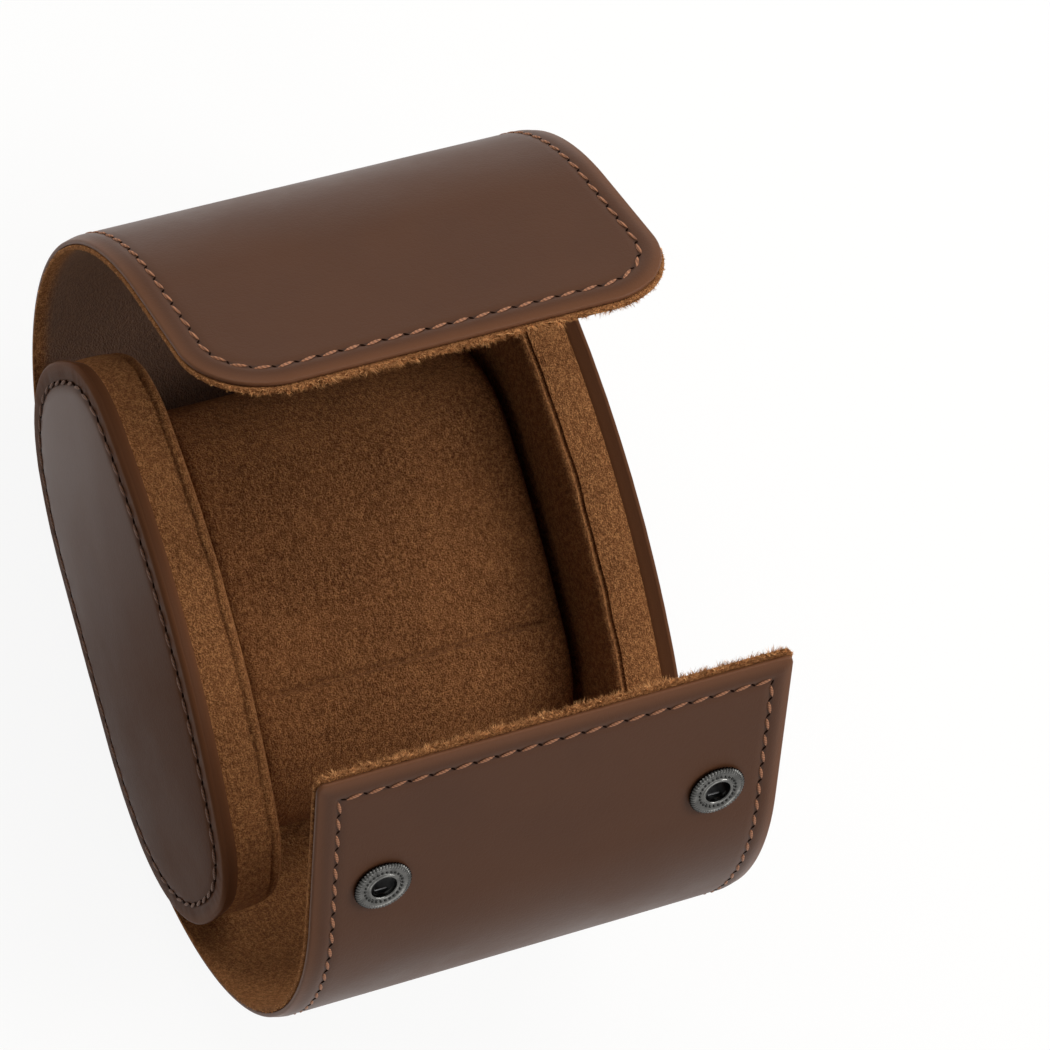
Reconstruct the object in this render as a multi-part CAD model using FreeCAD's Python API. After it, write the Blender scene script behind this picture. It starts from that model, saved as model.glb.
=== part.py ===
import FreeCAD, Part
import math
import os

# Travel case for one wrist watch, in millimetres.
# A leather wrap lies on its back, carries two padded end walls, and ends in a flap (+Y)
# and a lip (-Y) that fold over the walls and snap together. A soft pillow lies between the walls.
# X runs from end wall to end wall, Z is up, and the origin is the middle of the resting face.

V = FreeCAD.Vector
os.makedirs("parts", exist_ok=True)

# Wrap: two layers, a leather outside and a suede lining
case_length = 85.0
wrap_setback = 1.1
leather = 1.4
suede = 0.8
flat_half = 15.0
wrap_radius = 49.4
wrap_turn = 132.0
free_run = 32.4
flap_corner = 14.0
lip_corner = 1.5

# Fold lines of the flap and of the lip, as turns round the wrap's curve
fold_turn = 40.0
curl_turn = 78.0
curl_share = 0.85
lip_close = 28.0
flap_close = 25.5
fold_open = 30.0
fold_gap = 0.1
fold_spare = 2.0
lap_turn = 4.0
lap_depth = 0.7

# Back board between the leather and the lining
board = 0.5
board_margin = 4.0

# End walls
wall_thickness = 11.5
disc_leather = 1.0
disc_rim = 1.0
wall_base_turn = 20.0
wall_heel_radius = 24.5
wall_side_radius = 50.0
wall_side_turn = 14.0
wall_corner_radius = 17.0
wall_corner_turn = 58.0
seam_back = 2.4
wall_edge_round = 1.2

# Pillow
pillow_gap = 2.0
pillow_lift = 0.3
pillow_flat_half = 12.0
pillow_heel_radius = 25.5
pillow_heel_turn = 59.0
pillow_corner_radius = 20.0
pillow_corner_turn = 115.0
pillow_draw = 1.4
pillow_shoulder = 3.6
seam_place = -15.0
seam_width = 1.6
seam_depth = 0.5

# Snap fasteners
snap_half_spacing = 29.5
snap_from_edge = 25.5
socket_radius = 5.0
socket_height = 1.0
socket_rim = 0.5
socket_dish = 3.9
socket_bore = 2.2
rivet_wall = 0.45
rivet_flange = 3.4
rivet_flange_thickness = 0.35
bore_clearance = 0.05
wire = 0.28
wire_offset = 1.75
stud_base_radius = 3.6
stud_base_thickness = 0.45
stud_neck = 1.0
stud_bulb = 1.3
stud_reach = 2.4
cap_radius = 5.2
cap_thickness = 0.35

# Sizes worked out from those above
wrap_thickness = leather + suede
wrap_width = case_length - 2 * wrap_setback
arc_centre_z = wrap_thickness + wrap_radius
inner_end = case_length / 2 - wall_thickness
pillow_length = 2 * (inner_end - pillow_gap)
overrun = case_length


def save(name, shape):
    shape.exportStep("parts/" + name + ".step")
    print(name, len(shape.Solids), "solids", round(shape.Volume, 1), "mm3")


def along(turn, depth, run=0.0):
    # Point (y, z) of the wrap's section on the +Y side: a turn round its curve, a depth outside
    # the lining's inner face, and a run past the curve's end along its tangent.
    angle = math.radians(turn)
    radius = wrap_radius + depth
    y = flat_half + radius * math.sin(angle) + run * math.cos(angle)
    z = arc_centre_z - radius * math.cos(angle) + run * math.sin(angle)
    return y, z


def arc_between(side, x, depth, first, last):
    points = []
    for turn in (first, (first + last) / 2, last):
        y, z = along(turn, depth)
        points.append(V(x, side * y, z))
    return Part.Arc(*points).toShape()


def to_point(side, x, turn, depth, run=0.0):
    y, z = along(turn, depth, run)
    return V(x, side * y, z)


def strip(side, inner, outer, first, last, run=0.0, width=wrap_width):
    # Layer of the wrap between two depths, from one turn to another, with its straight free run.
    x = -width / 2
    edges = [arc_between(side, x, inner, first, last)]
    corners = [to_point(side, x, last, inner)]
    if run:
        corners.append(to_point(side, x, last, inner, run))
        corners.append(to_point(side, x, last, outer, run))
    corners.append(to_point(side, x, last, outer))
    for start, end in zip(corners[:-1], corners[1:]):
        edges.append(Part.makeLine(start, end))
    edges.append(arc_between(side, x, outer, last, first))
    edges.append(Part.makeLine(to_point(side, x, first, outer), to_point(side, x, first, inner)))
    face = Part.Face(Part.Wire(edges))
    return face.extrude(V(width, 0, 0))


def flat_strip(inner, outer):
    # Flat middle of the back, between two depths of the wrap.
    low = wrap_thickness - outer
    return Part.makeBox(wrap_width, 2 * flat_half, outer - inner, V(-wrap_width / 2, -flat_half, low))


def fold_axis(side, turn):
    return to_point(side, 0.0, turn, wrap_thickness / 2)


def fold_cut(side, turn, closing, opening):
    # Space that a fold line needs: a wedge inside for closing, one outside for opening,
    # and a thin slit between them, all through the fold's axis.
    angle = math.radians(turn)
    axis = fold_axis(side, turn)
    inward = V(0, -side * math.sin(angle), math.cos(angle))
    onward = V(0, side * math.cos(angle), math.sin(angle))
    reach = 2 * wrap_thickness
    shift = V(-wrap_width, 0, 0)
    pieces = []
    for way, swing in ((1, closing), (-1, opening)):
        half = reach * math.tan(math.radians(swing / 2 + fold_spare)) + fold_gap / 2
        corners = [
            axis + onward * (fold_gap / 2),
            axis + inward * (way * reach) + onward * half,
            axis + inward * (way * reach) - onward * half,
            axis - onward * (fold_gap / 2),
        ]
        corners = [point + shift for point in corners]
        wire = Part.makePolygon(corners + corners[:1])
        pieces.append(Part.Face(wire).extrude(V(2 * wrap_width, 0, 0)))
    return pieces


def tip_corners(side, radius, run):
    # Cutters that round the two free corners of a flap or lip.
    first = to_point(side, 0.0, wrap_turn, -wrap_thickness, run)
    angle = math.radians(wrap_turn)
    onward = V(0, side * math.cos(angle), math.sin(angle))
    outward = V(0, side * math.sin(angle), -math.cos(angle))
    depth = 3 * wrap_thickness
    cutters = []
    for hand in (-1, 1):
        corner = first + V(hand * wrap_width / 2, 0, 0) + onward * wrap_thickness
        outer = corner + V(hand * wrap_thickness, 0, 0)
        across = V(-hand * (radius + wrap_thickness), 0, 0)
        back = onward * -(radius + wrap_thickness)
        square = Part.Face(Part.makePolygon([
            outer,
            outer + across,
            outer + across + back,
            outer + back,
            outer,
        ])).extrude(outward * depth)
        centre = first + V(hand * (wrap_width / 2 - radius), 0, 0) - onward * radius
        round_part = Part.makeCylinder(radius, 3 * depth, centre - outward * depth, outward)
        cutters.append((square, round_part))
    return cutters


def round_tip(shape, side, radius, run):
    for square, round_part in tip_corners(side, radius, run):
        shape = shape.cut(square.cut(round_part))
    return shape


def section_points(flat, arcs, lift, grow):
    # Half section of a wall or pillow: a flat base, then arcs that follow each other, then an
    # arc that meets its mirror image at the top. It is grown outwards by a named amount.
    y = flat
    z = lift - grow
    heading = 0.0
    pieces = []
    for radius, turn in arcs:
        radius = radius + grow
        stations = []
        for share in (0.0, 0.5, 1.0):
            angle = math.radians(heading + turn * share)
            start = math.radians(heading)
            stations.append((
                y + radius * (math.sin(angle) - math.sin(start)),
                z + radius * (math.cos(start) - math.cos(angle)),
            ))
        pieces.append(stations)
        y, z = stations[-1]
        heading = heading + turn
    start = math.radians(heading)
    radius = y / math.sin(start)
    middle = (start + math.pi) / 2
    pieces.append([
        (y, z),
        (radius * math.sin(middle), z + radius * (math.cos(start) - math.cos(middle))),
        (0.0, z + radius * (math.cos(start) + 1)),
    ])
    return pieces


def section_wire(x, flat, arcs, lift, grow=0.0):
    pieces = section_points(flat, arcs, lift, grow)
    edges = [Part.makeLine(V(x, -flat, lift - grow), V(x, flat, lift - grow))]
    for stations in pieces[:-1]:
        edges.append(Part.Arc(*[V(x, y, z) for y, z in stations]).toShape())
    (y, z), (_, _), (_, top) = pieces[-1]
    edges.append(Part.Arc(V(x, y, z), V(x, 0, top), V(x, -y, z)).toShape())
    for stations in reversed(pieces[:-1]):
        edges.append(Part.Arc(*[V(x, -y, z) for y, z in reversed(stations)]).toShape())
    return Part.Wire(edges)


wall_arcs = [
    (wrap_radius, wall_base_turn),
    (wall_heel_radius, 90.0 - wall_base_turn),
    (wall_side_radius, wall_side_turn),
    (wall_corner_radius, wall_corner_turn),
]

pillow_arcs = [
    (pillow_heel_radius, pillow_heel_turn),
    (pillow_corner_radius, pillow_corner_turn),
]


def wall_block(first, last, grow):
    wire = section_wire(first, flat_half, wall_arcs, wrap_thickness, grow)
    return Part.Face(wire).extrude(V(last - first, 0, 0))


def inner_edge_fillet(shape, x, radius):
    # Rounds the rim of a wall at one end plane.
    rim = []
    for edge in shape.Edges:
        box = edge.BoundBox
        if abs(box.XMin - x) < fold_gap and abs(box.XMax - x) < fold_gap:
            if box.ZMax > wrap_thickness + fold_gap:
                rim.append(edge)
    return shape.makeFillet(radius, rim)


def build_back():
    cuts = fold_cut(1, fold_turn, flap_close, fold_open) + fold_cut(-1, fold_turn, lip_close, fold_open)
    # The upper leather runs from the flap's fold over the flat back and laps the lower leather.
    upper = flat_strip(suede, wrap_thickness)
    upper = upper.fuse(strip(1, suede, wrap_thickness, 0.0, fold_turn))
    upper = upper.fuse(strip(-1, suede, wrap_thickness, 0.0, lap_turn)).removeSplitter()
    lower = strip(-1, suede, wrap_thickness, lap_turn, fold_turn)
    lower = lower.fuse(strip(-1, suede, suede + lap_depth, 0.0, lap_turn)).removeSplitter()
    upper = upper.cut(strip(-1, suede, suede + lap_depth, 0.0, lap_turn))
    lining = flat_strip(0.0, suede)
    for side in (-1, 1):
        lining = lining.fuse(strip(side, 0.0, suede, 0.0, fold_turn))
    lining = lining.removeSplitter()
    stiffener = Part.makeBox(
        wrap_width - 2 * board_margin,
        2 * flat_half - board_margin,
        board,
        V(-wrap_width / 2 + board_margin, -flat_half + board_margin / 2, leather - board),
    )
    upper = upper.cut(stiffener)
    for cut in cuts:
        upper = upper.cut(cut)
        lower = lower.cut(cut)
        lining = lining.cut(cut)
    save("back_upper_leather", upper)
    save("back_lower_leather", lower)
    save("back_lining", lining)
    save("back_stiffener", stiffener)


def build_end_wall(name, hand):
    outer_face = hand * case_length / 2
    under_disc = hand * (case_length / 2 - disc_leather)
    inner_face = hand * inner_end
    seam = hand * (inner_end + seam_back)
    board_face = hand * (case_length / 2 - disc_leather - suede)
    panel_face = hand * (inner_end + suede)

    disc = wall_block(under_disc, outer_face, disc_rim)
    disc = inner_edge_fillet(disc, outer_face, disc_leather / 2)

    whole = wall_block(under_disc, inner_face, 0.0)
    whole = inner_edge_fillet(whole, inner_face, wall_edge_round)
    filling = wall_block(under_disc, panel_face, -suede)
    backing = wall_block(under_disc, board_face, -suede)
    core = filling.cut(backing)
    shell = whole.cut(filling)
    band_side = Part.makeBox(
        abs(under_disc - seam), overrun * 2, overrun * 2,
        V(min(under_disc, seam), -overrun, -overrun),
    )
    band = shell.common(band_side)
    panel = shell.cut(band_side)
    save(name + "_disc_leather", disc)
    save(name + "_board", backing)
    save(name + "_foam_core", core)
    save(name + "_suede_band", band)
    save(name + "_suede_panel", panel)


def rotate(point, pivot, degrees):
    angle = math.radians(degrees)
    y = point.y - pivot.y
    z = point.z - pivot.z
    return V(
        point.x,
        pivot.y + y * math.cos(angle) - z * math.sin(angle),
        pivot.z + y * math.sin(angle) + z * math.cos(angle),
    )


def stud_place():
    # Where the flap's lining meets the socket's middle once both are closed, as a run along the
    # flap's straight end: the socket is carried to its closed place and back through the flap.
    point = to_point(-1, 0.0, wrap_turn, wrap_thickness, free_run - snap_from_edge)
    point = rotate(point, fold_axis(-1, curl_turn), -lip_close * curl_share)
    point = rotate(point, fold_axis(-1, fold_turn), -lip_close)
    point = rotate(point, fold_axis(1, fold_turn), -flap_close)
    point = rotate(point, fold_axis(1, curl_turn), -flap_close * curl_share)
    start = to_point(1, 0.0, wrap_turn, 0.0)
    angle = math.radians(wrap_turn)
    onward = V(0, math.cos(angle), math.sin(angle))
    inward = V(0, -math.sin(angle), math.cos(angle))
    offset = point - start
    return offset.dot(onward), offset.dot(inward)


def build_flap_side(name, side, corner, closing, holes):
    # Flap or lip: a fold part from the back to the curl line, and a free part past it.
    fold_cuts = fold_cut(side, fold_turn, closing, fold_open)
    curl_cuts = fold_cut(side, curl_turn, closing * curl_share, fold_open * curl_share)
    for layer, inner, outer in (("leather", suede, wrap_thickness), ("lining", 0.0, suede)):
        fold = strip(side, inner, outer, fold_turn, curl_turn)
        free = strip(side, inner, outer, curl_turn, wrap_turn, free_run)
        free = round_tip(free, side, corner, free_run)
        for cut in fold_cuts + curl_cuts:
            fold = fold.cut(cut)
            free = free.cut(cut)
        for hole in holes[layer]:
            free = free.cut(hole)
        save(name + "_fold_" + layer, fold)
        save(name + "_" + layer, free)


def ring(place, out, outer, inner, low, high):
    tube = Part.makeCylinder(outer, high - low, place + out * low, out)
    return tube.cut(Part.makeCylinder(inner, high - low, place + out * low, out))


def build_snaps():
    angle = math.radians(wrap_turn)
    lip_out = V(0, -math.sin(angle), -math.cos(angle))
    socket_run = free_run - snap_from_edge
    stud_run, gap = stud_place()
    print("stud run", round(stud_run, 2), "gap at the snap", round(gap, 2))
    flap_in = V(0, -math.sin(angle), math.cos(angle))
    sockets, springs, rivets, studs, caps = [], [], [], [], []
    leather_holes, lining_holes, flap_leather_holes, flap_lining_holes = [], [], [], []
    for hand in (-1, 1):
        x = hand * snap_half_spacing
        base = to_point(-1, x, wrap_turn, 0.0, socket_run)
        face = wrap_thickness
        rivet_radius = socket_bore + rivet_wall
        through = Part.makeCylinder(rivet_radius, 3 * wrap_thickness, base - lip_out * wrap_thickness, lip_out)
        leather_holes.append(through)
        lining_holes.append(through)
        # Socket: flat flange with a raised rim round a shallow dish, and a bore for the stud
        plate = ring(base, lip_out, socket_radius, socket_bore, face, face + socket_height)
        dish = ring(base, lip_out, socket_radius - socket_rim, socket_dish, face + socket_height - socket_rim / 2,
                    face + socket_height)
        plate = plate.cut(dish)
        rim_edges = [edge for edge in plate.Edges if abs(edge.Length - 2 * math.pi * socket_radius) < fold_gap]
        plate = plate.makeFillet(socket_rim / 3, rim_edges)
        sockets.append(plate)
        # Rivet: tube through both layers with a flange on the lining
        tube = ring(base, lip_out, rivet_radius, socket_bore, -rivet_flange_thickness, face)
        flange = ring(base, lip_out, rivet_flange, socket_bore, -rivet_flange_thickness, 0.0)
        rivets.append(tube.fuse(flange).removeSplitter())
        # Spring: two wires across the bore that grip the stud's neck
        along_x = V(1, 0, 0)
        level = face - wire * 2
        for way in (-1, 1):
            middle = base + lip_out * level
            across = lip_out.cross(along_x)
            half = math.sqrt((socket_bore - bore_clearance) ** 2 - (wire_offset + wire / 2) ** 2)
            start = middle + across * (way * wire_offset) - along_x * half
            springs.append(Part.makeCylinder(wire / 2, 2 * half, start, along_x))
        # Stud on the flap's lining, with its cap hidden between the layers
        seat = to_point(1, x, wrap_turn, 0.0, stud_run)
        stud = Part.makeCylinder(stud_base_radius, stud_base_thickness, seat, flap_in)
        stud = stud.fuse(Part.makeCylinder(stud_neck, stud_reach, seat, flap_in))
        bulb = Part.makeCylinder(stud_bulb, stud_reach / 3, seat + flap_in * (stud_reach * 2 / 3), flap_in)
        bulb = bulb.makeFillet(stud_reach / 9, [edge for edge in bulb.Edges if edge.Length > stud_bulb])
        stud = stud.fuse(bulb)
        shank = Part.makeCylinder(stud_neck, suede, seat - flap_in * suede, flap_in)
        stud = stud.fuse(shank).removeSplitter()
        studs.append(stud)
        cap = Part.makeCylinder(cap_radius, cap_thickness, seat - flap_in * (suede + cap_thickness), flap_in)
        caps.append(cap)
        flap_lining_holes.append(shank)
        flap_leather_holes.append(cap)
    save("snap_sockets", Part.makeCompound(sockets))
    save("snap_socket_springs", Part.makeCompound(springs))
    save("snap_socket_rivets", Part.makeCompound(rivets))
    save("snap_studs", Part.makeCompound(studs))
    save("snap_stud_caps", Part.makeCompound(caps))
    lip_holes = {"leather": leather_holes, "lining": lining_holes}
    flap_holes = {"leather": flap_leather_holes, "lining": flap_lining_holes}
    return lip_holes, flap_holes


def pillow_body(grow, length):
    # Loft along X through sections that draw in towards the two ends.
    half = length / 2
    base = wrap_thickness + pillow_lift
    wires = []
    for x, drawn in (
        (-half, pillow_draw),
        (-half + pillow_shoulder / 3, pillow_draw / 3),
        (-half + pillow_shoulder, 0.0),
        (half - pillow_shoulder, 0.0),
        (half - pillow_shoulder / 3, pillow_draw / 3),
        (half, pillow_draw),
    ):
        wires.append(section_wire(x, pillow_flat_half, pillow_arcs, base, grow - drawn))
    return Part.makeLoft(wires, True, True)


def build_pillow():
    whole = pillow_body(0.0, pillow_length)
    inner = pillow_body(-suede, pillow_length - 2 * suede)
    shell = whole.cut(inner)
    half = pillow_length / 2
    middle = Part.makeBox(
        pillow_length - 2 * suede, overrun * 2, overrun * 2,
        V(-half + suede, -overrun, -overrun),
    )
    cover = shell.common(middle)
    # Shallow channel along the cover where the edges of its suede are sewn together
    (y, z), _, (_, top) = section_points(pillow_flat_half, pillow_arcs, wrap_thickness + pillow_lift, 0.0)[-1]
    bend = math.hypot(y, top - z) ** 2 / (2 * (top - z))
    outward = V(0, seam_place, math.sqrt(bend ** 2 - seam_place ** 2)).normalize()
    on_cover = V(0, 0, top - bend) + outward * bend
    seam_length = pillow_length - 2 * pillow_shoulder
    axis_start = on_cover + outward * (seam_width / 2 - seam_depth) - V(seam_length / 2, 0, 0)
    cover = cover.cut(Part.makeCylinder(seam_width / 2, seam_length, axis_start, V(1, 0, 0)))
    ends = shell.cut(middle)
    left = [solid for solid in ends.Solids if solid.CenterOfMass.x < 0]
    right = [solid for solid in ends.Solids if solid.CenterOfMass.x > 0]
    save("pillow_foam", inner)
    save("pillow_cover", cover)
    save("pillow_left_end", Part.makeCompound(left))
    save("pillow_right_end", Part.makeCompound(right))


def main():
    build_back()
    build_end_wall("left_end", -1)
    build_end_wall("right_end", 1)
    lip_holes, flap_holes = build_snaps()
    build_flap_side("flap", 1, flap_corner, flap_close, flap_holes)
    build_flap_side("lip", -1, lip_corner, lip_close, lip_holes)
    build_pillow()
    for label, side, turn in (("flap fold", 1, fold_turn), ("flap curl", 1, curl_turn),
                              ("lip fold", -1, fold_turn), ("lip curl", -1, curl_turn)):
        axis = fold_axis(side, turn)
        print(label, "axis at y", round(axis.y, 4), "z", round(axis.z, 4))


main()
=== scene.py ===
import math

import bpy
import numpy as np
from mathutils import Matrix


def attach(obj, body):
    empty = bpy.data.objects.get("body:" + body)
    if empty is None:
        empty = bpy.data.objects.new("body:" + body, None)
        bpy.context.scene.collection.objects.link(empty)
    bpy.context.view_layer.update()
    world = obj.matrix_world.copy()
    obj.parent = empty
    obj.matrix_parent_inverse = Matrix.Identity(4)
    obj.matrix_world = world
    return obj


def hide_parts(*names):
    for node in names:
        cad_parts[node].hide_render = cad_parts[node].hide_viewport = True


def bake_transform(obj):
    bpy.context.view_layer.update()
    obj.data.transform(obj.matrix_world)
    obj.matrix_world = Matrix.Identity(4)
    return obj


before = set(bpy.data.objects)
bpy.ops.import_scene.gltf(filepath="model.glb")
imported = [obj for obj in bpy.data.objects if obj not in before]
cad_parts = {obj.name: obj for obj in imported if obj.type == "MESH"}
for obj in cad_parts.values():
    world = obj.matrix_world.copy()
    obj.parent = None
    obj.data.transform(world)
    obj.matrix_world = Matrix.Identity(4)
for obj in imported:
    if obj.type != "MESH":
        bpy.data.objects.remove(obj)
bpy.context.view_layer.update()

print("frame loaded")

# Everything below is worked out in millimetres and put into meshes in metres.
mm = 0.001

wrapSizes = {
    "radius": 49.4, "flatHalf": 15.0, "turn": 132.0, "freeRun": 32.4, "leather": 1.4, "suede": 0.8,
    "halfWidth": 41.4, "flapCorner": 14.0, "lipCorner": 1.5, "foldTurn": 40.0, "curlTurn": 78.0,
    "lapTurn": 4.0, "lapRise": 0.7, "lapRound": 0.35, "lapUnderRound": 0.2, "lapGap": 0.05, "bendReach": 8.0,
    "bendDepth": 1.1, "edgeRound": 0.45, "outerRound": 0.8, "innerRound": 0.25, "edgeRoll": 0.5,
    "edgeRollWidth": 1.5, "stitchInset": 3.7, "stitchGroove": 0.2, "grooveWidth": 0.6, "waviness": 0.12,
    "suedeProud": 0.25, "tipProud": 0.7,
}


# Mesh helpers

meshSizes = {"sharpAngle": 48.0, "station": 1.1, "acrossStart": 8.6, "acrossStep": 1.6, "cornerStart": 7.6,
             "cornerEnd": 15.0, "cornerStep": 0.6}


def addMesh(name, points, faces, attributes=None):
    # faces is a list of whole arrays, each with one face per row; a closed shell is turned to point outwards
    corners = np.concatenate([face.ravel() for face in faces]).astype(np.int32)
    sizes = np.concatenate([np.full(len(face), face.shape[1]) for face in faces]).astype(np.int32)
    starts = np.concatenate([[0], np.cumsum(sizes)[:-1]]).astype(np.int32)
    volume = 0.0
    for face in faces:
        first = points[face[:, 0]]
        for k in range(1, face.shape[1] - 1):
            volume += np.einsum("ij,ij->", first, np.cross(points[face[:, k]], points[face[:, k + 1]]))
    if volume < 0:
        corners = np.concatenate([face[:, ::-1].ravel() for face in faces]).astype(np.int32)
    mesh = bpy.data.meshes.new(name)
    mesh.vertices.add(len(points))
    mesh.vertices.foreach_set("co", (points * mm).astype(np.float32).ravel())
    mesh.loops.add(len(corners))
    mesh.loops.foreach_set("vertex_index", corners)
    mesh.polygons.add(len(sizes))
    mesh.polygons.foreach_set("loop_start", starts)
    mesh.update(calc_edges=True)
    mesh.polygons.foreach_set("use_smooth", np.ones(len(sizes), bool))
    mesh.validate()
    mesh.set_sharp_from_angle(angle=math.radians(meshSizes["sharpAngle"]))
    for key, values in (attributes or {}).items():
        made = mesh.attributes.new(key, "FLOAT", "POINT")
        made.data.foreach_set("value", values.astype(np.float32).ravel())
    piece = bpy.data.objects.new(name, mesh)
    bpy.context.scene.collection.objects.link(piece)
    return piece


def gridFaces(rows, columns, wrapColumns=False, wrapRows=False):
    # each face joins a grid point to its neighbours one row and one column on
    row = np.arange(rows if wrapRows else rows - 1)[:, None]
    column = np.arange(columns if wrapColumns else columns - 1)[None, :]
    nextRow, nextColumn = (row + 1) % rows, (column + 1) % columns
    quads = [row * columns + column, nextRow * columns + column,
             nextRow * columns + nextColumn, row * columns + nextColumn]
    return np.stack(np.broadcast_arrays(*quads), -1).reshape(-1, 4)


def tubeFaces(rows, columns, closedRows=False):
    # rings that follow each other, closed round, and closed at both ends by one face each
    first = np.arange(columns)[None, :]
    ends = [] if closedRows else [first, first[:, ::-1] + (rows - 1) * columns]
    return [gridFaces(rows, columns, True, closedRows)] + ends


def ringPiece(name, rings, closedRows=False, attributes=None):
    # a tube through such rings
    return addMesh(name, rings.reshape(-1, 3), tubeFaces(*rings.shape[:2], closedRows), attributes)


def sheetPiece(name, outer, inner, attributes, kept=True):
    # two grids, face to face, joined along every edge that only one kept face uses
    rows, columns = outer.shape[:2]
    count = rows * columns
    grid = gridFaces(rows, columns)[np.broadcast_to(kept, (rows - 1, columns - 1)).ravel()]
    edges = np.concatenate([grid[:, [k, (k + 1) % 4]] for k in range(4)])
    rim = edges[~np.isin(edges @ [count, 1], edges @ [1, count])]
    side = np.column_stack([rim[:, ::-1], rim + count])
    points = np.concatenate([outer.reshape(-1, 3), inner.reshape(-1, 3)])
    faces = [grid, grid[:, ::-1] + count, side]
    used = np.unique(np.concatenate([grid.ravel(), grid.ravel() + count]))
    lookup = np.zeros(2 * count, int)
    lookup[used] = np.arange(len(used))
    doubled = {key: np.tile(a.ravel(), 2)[used] for key, a in attributes.items()}
    return addMesh(name, points[used], [lookup[face] for face in faces], doubled)


def repeated(name, template, templateFaces, places, frames, scales, attributes=None):
    # one small shape carried to every place, turned by that place's three axes and stretched along them
    moved = np.einsum("tk,pk,pkj->ptj", template, scales, frames) + places[:, None, :]
    shift = (np.arange(len(places)) * len(template))[:, None, None]
    faces = [(face[None] + shift).reshape(-1, face.shape[1]) for face in templateFaces]
    spread = {key: np.repeat(a, len(template)) for key, a in (attributes or {}).items()}
    return addMesh(name, moved.reshape(-1, 3), faces, spread)


def pathLength(line):
    # the way along a line up to each of its points
    return np.concatenate([[0], np.cumsum(np.linalg.norm(np.diff(line, axis=0), axis=1))])


def pointsAt(at, length, line):
    # points of a line at the given ways along it
    return np.stack([np.interp(at, length, line[:, k]) for k in range(line.shape[1])], -1)


def unit(ways):
    # the same directions, each divided by its length
    return ways / np.linalg.norm(ways, axis=-1, keepdims=True)


def smoothStep(value, low, high):
    # 0 below low, 1 above high, and an even curve between them
    share = np.clip((value - low) / (high - low), 0, 1)
    return share * share * (3 - 2 * share)


# The wrap's own coordinates: x across it and s along it from the middle of its back

def wrapLength(turn, run=0.0):
    # the flat, then the arc up to this turn, then a straight run
    return wrapSizes["flatHalf"] + wrapSizes["radius"] * math.radians(turn) + run


def wrapAngle(s):
    # how far the arc has turned: not yet on the flat, and no further past its end
    return np.clip((s - wrapSizes["flatHalf"]) / wrapSizes["radius"], 0, math.radians(wrapSizes["turn"]))


def wrapPoint(x, s, depth, side):
    # flat first, then round an arc, then straight on, always depth outside the lining's inner face
    flat, radius, angle = wrapSizes["flatHalf"], wrapSizes["radius"], wrapAngle(s)
    over = np.maximum(s - wrapLength(wrapSizes["turn"]), 0)
    y = np.minimum(s, flat) + (radius + depth) * np.sin(angle) + over * np.cos(angle)
    z = thick + radius - (radius + depth) * np.cos(angle) + over * np.sin(angle)
    return np.stack(np.broadcast_arrays(x, side * y, z), -1)


def wrapNormal(s, side):
    # straight out of the leather: down on the flat, and turned with the arc
    angle = wrapAngle(s)
    return np.stack(np.broadcast_arrays(np.zeros_like(angle), side * np.sin(angle), -np.cos(angle)), -1)


def tipHalfWidth(s, end, corner, half):
    # full width up to the corner, then a quarter circle
    into = np.clip(s - (end - corner), 0, corner)
    return half - corner + np.sqrt(np.maximum(corner ** 2 - into ** 2, 0))


def edgeDistance(x, s, end, corner, half):
    # how far a point of the sheet is from the nearest side, free edge or rounded corner
    straight = np.minimum(half - np.abs(x), end - s)
    dx, ds = np.abs(x) - (half - corner), s - (end - corner)
    rounded = corner - np.hypot(dx, ds)
    return np.where((dx > 0) & (ds > 0), rounded, straight)


def roundDrop(distance, radius):
    # how much lower a rounded edge is than the face beside it
    return radius - np.sqrt(np.maximum(radius ** 2 - (radius - np.clip(distance, 0, radius)) ** 2, 0))


nearEdge = np.array([0, 0.04, 0.12, 0.24, 0.45, 0.8, 1.4, 2.2, 2.9, 3.3, 3.7, 4.1, 4.5, 5.4, 7.0])


def acrossShares(half):
    # from one side to the other, closer together near the sides, as shares of the half width
    middle = np.arange(meshSizes["acrossStart"], half, meshSizes["acrossStep"])
    inset = np.concatenate([nearEdge, middle])
    left = -(half - inset)
    return np.concatenate([left, [0.0], -left[::-1]]) / half


def evenStations(first, last):
    # about one station apart
    return np.linspace(first, last, int((last - first) / meshSizes["station"]) + 2)


def tipStations(first, last):
    # even ones, then closer together round the corners and at the free edge
    step = meshSizes["cornerStep"]
    corner = last - np.arange(meshSizes["cornerStart"], meshSizes["cornerEnd"], step)[::-1]
    return np.concatenate([evenStations(first, corner[0] - step), corner, last - nearEdge[::-1]])


def tipOutline(half, top, radius, start):
    # up one side, round the free edge with its corners, and down the other
    angle = np.linspace(0, math.pi / 2, 24)
    x = np.concatenate([np.full(160, -half), -half + radius - radius * np.cos(angle)])
    s = np.concatenate([np.linspace(start, top - radius, 160), top - radius + radius * np.sin(angle)])
    return np.concatenate([x, -x[::-1]]), np.concatenate([s, s[::-1]])


def cutCircles(x, s, centres, radius):
    # marks the faces to keep, and moves the points round each hole onto its circle
    kept = np.ones((x.shape[0] - 1, x.shape[1] - 1), bool)
    for centre in centres:
        dx, ds = x - centre[0], s - centre[1]
        gone = np.hypot(dx[:-1, :-1] + dx[1:, 1:], ds[:-1, :-1] + ds[1:, 1:]) < 2 * radius
        kept &= ~gone
        moved = np.zeros(x.shape, bool)
        for rows in (slice(None, -1), slice(1, None)):
            for columns in (slice(None, -1), slice(1, None)):
                moved[rows, columns] |= gone
        reach = np.maximum(np.hypot(dx, ds), 0.01)
        x = np.where(moved, centre[0] + dx * radius / reach, x)
        s = np.where(moved, centre[1] + ds * radius / reach, s)
    return x, s, kept


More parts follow.
